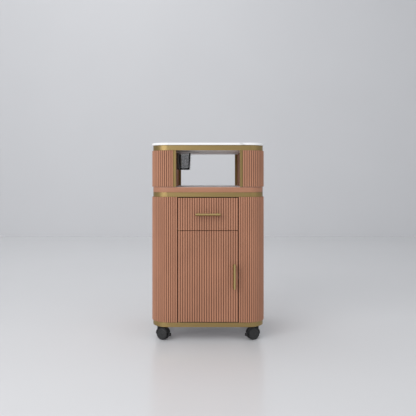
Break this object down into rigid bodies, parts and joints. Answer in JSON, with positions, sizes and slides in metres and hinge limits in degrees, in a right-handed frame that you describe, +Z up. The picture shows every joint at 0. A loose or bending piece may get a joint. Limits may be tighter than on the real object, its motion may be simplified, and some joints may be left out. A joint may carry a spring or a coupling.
{
  "type": "spa trolley cart",
  "caption": "Fluted storage trolley with rounded corners, brass bands, an open niche with a smoked bin, a drawer and a hinged cupboard on braked swivel casters.",
  "frame": {"origin": "on the floor, under the middle of the trolley's overall box, pulls included", "axes": "+Z up, front faces -Y, +X to the right seen from the front"},
  "size_m": [0.4626, 0.4462, 0.8],
  "materials": {
    "pink_lacquer": "satin dusty-pink lacquer on fluted board",
    "brushed_brass": "brushed",
    "white_stone": "honed white sintered stone, opaque",
    "white_laminate": "matt melamine-faced board",
    "zinc_steel": "bright zinc plated",
    "black_nylon": "moulded black nylon",
    "black_steel": "black powder coat",
    "smoked_acrylic": "polished smoked acrylic, see-through"
  },
  "bodies": {
    "cabinet": {"base_board": "white_laminate", "base_band": "brushed_brass", "left_fluted_shell": "pink_lacquer", "right_fluted_shell": "pink_lacquer", "back_fluted_panel": "pink_lacquer", "left_inner_side": "white_laminate", "right_inner_side": "white_laminate", "drawer_divider": "white_laminate", "cabinet_top_board": "white_laminate", "middle_band": "brushed_brass", "niche_floor_board": "pink_lacquer", "left_pillar_shell": "pink_lacquer", "right_pillar_shell": "pink_lacquer", "left_niche_wall": "pink_lacquer", "right_niche_wall": "pink_lacquer", "left_front_trim": "brushed_brass", "right_front_trim": "brushed_brass", "left_back_trim": "brushed_brass", "right_back_trim": "brushed_brass", "top_board": "white_laminate", "top_band": "brushed_brass", "worktop_slab": "white_stone", "inner_shelf": "white_laminate", "shelf_cleat_left": "white_laminate", "shelf_cleat_right": "white_laminate", "slide_outer_left": "zinc_steel", "slide_outer_right": "zinc_steel", "hinge_leaf_top": "brushed_brass", "hinge_leaf_bottom": "brushed_brass", "door_catch": "black_nylon", "bin_rail": "black_steel"},
    "drawer": {"drawer_front": "pink_lacquer", "drawer_left_side": "white_laminate", "drawer_right_side": "white_laminate", "drawer_back": "white_laminate", "drawer_bottom": "white_laminate", "drawer_pull": "brushed_brass", "slide_inner_left": "zinc_steel", "slide_inner_right": "zinc_steel"},
    "slide_members": {"slide_middle_left": "zinc_steel", "slide_middle_right": "zinc_steel"},
    "door": {"door_panel": "pink_lacquer", "door_pull": "brushed_brass", "door_strike": "zinc_steel"},
    "bin": {"smoked_bin": "smoked_acrylic"},
    "front_left_caster": {"front_left_caster_housing": "black_nylon"},
    "front_left_wheel_fore": {"front_left_wheel_fore": "black_nylon"},
    "front_left_wheel_aft": {"front_left_wheel_aft": "black_nylon"},
    "front_left_brake_pedal": {"front_left_brake_pedal": "black_nylon"},
    "front_right_caster": {"front_right_caster_housing": "black_nylon"},
    "front_right_wheel_fore": {"front_right_wheel_fore": "black_nylon"},
    "front_right_wheel_aft": {"front_right_wheel_aft": "black_nylon"},
    "front_right_brake_pedal": {"front_right_brake_pedal": "black_nylon"},
    "rear_left_caster": {"rear_left_caster_housing": "black_nylon"},
    "rear_left_wheel_fore": {"rear_left_wheel_fore": "black_nylon"},
    "rear_left_wheel_aft": {"rear_left_wheel_aft": "black_nylon"},
    "rear_right_caster": {"rear_right_caster_housing": "black_nylon"},
    "rear_right_wheel_fore": {"rear_right_wheel_fore": "black_nylon"},
    "rear_right_wheel_aft": {"rear_right_wheel_aft": "black_nylon"}
  },
  "joints": [
    {"name": "drawer_slide", "type": "slide", "parent": "cabinet", "child": "drawer", "axis": [0, -1, 0], "range_m": [0, 0.28]},
    {"name": "slide_members_slide", "type": "slide", "parent": "cabinet", "child": "slide_members", "axis": [0, -1, 0], "range_m": [0, 0.14]},
    {"name": "door_hinge", "type": "hinge", "parent": "cabinet", "child": "door", "pos_m": [-0.1156, -0.19315, 0.2635], "axis": [0, 0, -1], "range_deg": [0, 100]},
    {"name": "bin_slide", "type": "slide", "parent": "cabinet", "child": "bin", "axis": [0, -1, 0], "range_m": [0, 0.12]},
    {"name": "front_left_swivel", "type": "hinge", "parent": "cabinet", "child": "front_left_caster", "pos_m": [-0.2025, -0.14415, 0.052], "axis": [0, 0, 1], "continuous": true},
    {"name": "front_left_wheel_fore_spin", "type": "hinge", "parent": "front_left_caster", "child": "front_left_wheel_fore", "pos_m": [-0.18307, -0.15448, 0.025], "axis": [0.4695, 0.8829, 0], "continuous": true},
    {"name": "front_left_wheel_aft_spin", "type": "hinge", "parent": "front_left_caster", "child": "front_left_wheel_aft", "pos_m": [-0.18307, -0.15448, 0.025], "axis": [0.4695, 0.8829, 0], "continuous": true},
    {"name": "front_left_brake", "type": "hinge", "parent": "front_left_caster", "child": "front_left_brake_pedal", "pos_m": [-0.1716, -0.16058, 0.04], "axis": [0.4695, 0.8829, 0], "range_deg": [0, 12]},
    {"name": "front_right_swivel", "type": "hinge", "parent": "cabinet", "child": "front_right_caster", "pos_m": [0.2025, -0.14415, 0.052], "axis": [0, 0, 1], "continuous": true},
    {"name": "front_right_wheel_fore_spin", "type": "hinge", "parent": "front_right_caster", "child": "front_right_wheel_fore", "pos_m": [0.18307, -0.15448, 0.025], "axis": [0.4695, -0.8829, 0], "continuous": true},
    {"name": "front_right_wheel_aft_spin", "type": "hinge", "parent": "front_right_caster", "child": "front_right_wheel_aft", "pos_m": [0.18307, -0.15448, 0.025], "axis": [0.4695, -0.8829, 0], "continuous": true},
    {"name": "front_right_brake", "type": "hinge", "parent": "front_right_caster", "child": "front_right_brake_pedal", "pos_m": [0.1716, -0.16058, 0.04], "axis": [0.4695, -0.8829, 0], "range_deg": [0, 12]},
    {"name": "rear_left_swivel", "type": "hinge", "parent": "cabinet", "child": "rear_left_caster", "pos_m": [-0.2025, 0.16785, 0.052], "axis": [0, 0, 1], "continuous": true},
    {"name": "rear_left_wheel_fore_spin", "type": "hinge", "parent": "rear_left_caster", "child": "rear_left_wheel_fore", "pos_m": [-0.18307, 0.17818, 0.025], "axis": [-0.4695, 0.8829, 0], "continuous": true},
    {"name": "rear_left_wheel_aft_spin", "type": "hinge", "parent": "rear_left_caster", "child": "rear_left_wheel_aft", "pos_m": [-0.18307, 0.17818, 0.025], "axis": [-0.4695, 0.8829, 0], "continuous": true},
    {"name": "rear_right_swivel", "type": "hinge", "parent": "cabinet", "child": "rear_right_caster", "pos_m": [0.2025, 0.16785, 0.052], "axis": [0, 0, 1], "continuous": true},
    {"name": "rear_right_wheel_fore_spin", "type": "hinge", "parent": "rear_right_caster", "child": "rear_right_wheel_fore", "pos_m": [0.18307, 0.17818, 0.025], "axis": [-0.4695, -0.8829, 0], "continuous": true},
    {"name": "rear_right_wheel_aft_spin", "type": "hinge", "parent": "rear_right_caster", "child": "rear_right_wheel_aft", "pos_m": [0.18307, 0.17818, 0.025], "axis": [-0.4695, -0.8829, 0], "continuous": true}
  ],
  "couplings": [
    {"joint": "slide_members_slide", "follows": "drawer_slide", "ratio": 0.5}
  ]
}
